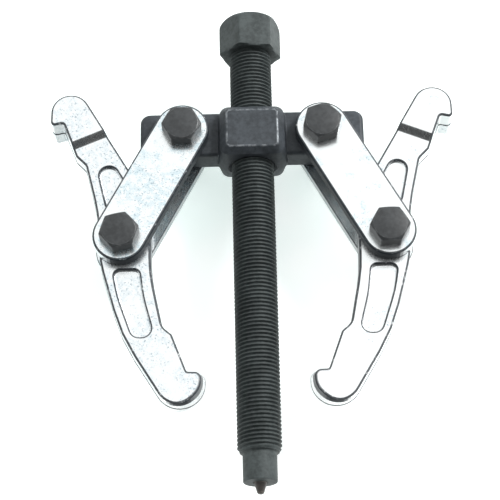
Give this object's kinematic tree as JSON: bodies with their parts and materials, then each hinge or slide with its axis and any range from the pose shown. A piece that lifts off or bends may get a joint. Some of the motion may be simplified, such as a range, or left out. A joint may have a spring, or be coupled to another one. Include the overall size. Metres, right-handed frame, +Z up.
{
  "type": "gear puller",
  "caption": "Two-jaw reversible gear puller: a forcing screw through a yoke whose link straps carry hooked jaws.",
  "frame": {"origin": "middle of the yoke, where the screw axis crosses the centre line of the arms", "axes": "+Y along the screw from its point to its head, +X across the arms, +Z up, away from the bench the puller lies on"},
  "size_m": [0.1522, 0.1886, 0.0403],
  "materials": {
    "forged_black": "forged steel with a satin black oxide, edges worn bright",
    "screw_black": "rolled thread with an oiled black oxide",
    "point_steel": "hardened dark steel",
    "zinc_strap": "pressed steel strip with bright zinc plating",
    "zinc_forging": "forged steel with bright zinc plating, finely pitted",
    "bolt_black": "black oxide fastener",
    "washer_steel": "dark spring steel"
  },
  "bodies": {
    "yoke": {"yoke": "forged_black"},
    "centre_point": {"centre_point": "point_steel"},
    "forcing_screw": {"forcing_screw": "screw_black"},
    "left_links": {"left_front_strap": "zinc_strap", "left_rear_strap": "zinc_strap", "left_upper_bolt": "bolt_black", "left_lower_bolt": "bolt_black", "left_upper_washer": "washer_steel", "left_lower_washer": "washer_steel", "left_upper_nut": "bolt_black", "left_lower_nut": "bolt_black"},
    "left_jaw": {"left_jaw": "zinc_forging"},
    "right_links": {"right_front_strap": "zinc_strap", "right_rear_strap": "zinc_strap", "right_upper_bolt": "bolt_black", "right_lower_bolt": "bolt_black", "right_upper_washer": "washer_steel", "right_lower_washer": "washer_steel", "right_upper_nut": "bolt_black", "right_lower_nut": "bolt_black"},
    "right_jaw": {"right_jaw": "zinc_forging"}
  },
  "joints": [
    {"name": "screw_travel", "type": "slide", "parent": "yoke", "child": "centre_point", "axis": [0, 1, 0], "range_m": [-0.0225, 0.105]},
    {"name": "screw_turn", "type": "hinge", "parent": "centre_point", "child": "forcing_screw", "pos_m": [0, 0, 0], "axis": [0, 1, 0], "range_deg": [-5400.1, 25200.1]},
    {"name": "left_link_swing", "type": "hinge", "parent": "yoke", "child": "left_links", "pos_m": [-0.0263, 0, 0], "axis": [0, 0, -1], "range_deg": [-6, 60]},
    {"name": "left_jaw_swing", "type": "hinge", "parent": "left_links", "child": "left_jaw", "pos_m": [-0.04932, -0.04258, 0], "axis": [0, 0, 1], "range_deg": [-12, 11]},
    {"name": "right_link_swing", "type": "hinge", "parent": "yoke", "child": "right_links", "pos_m": [0.0263, 0, 0], "axis": [0, 0, 1], "range_deg": [-6, 60]},
    {"name": "right_jaw_swing", "type": "hinge", "parent": "right_links", "child": "right_jaw", "pos_m": [0.04932, -0.04258, 0], "axis": [0, 0, -1], "range_deg": [-12, 11]}
  ],
  "couplings": [
    {"joint": "screw_turn", "follows": "screw_travel", "rad_per_m": 4188.8}
  ]
}
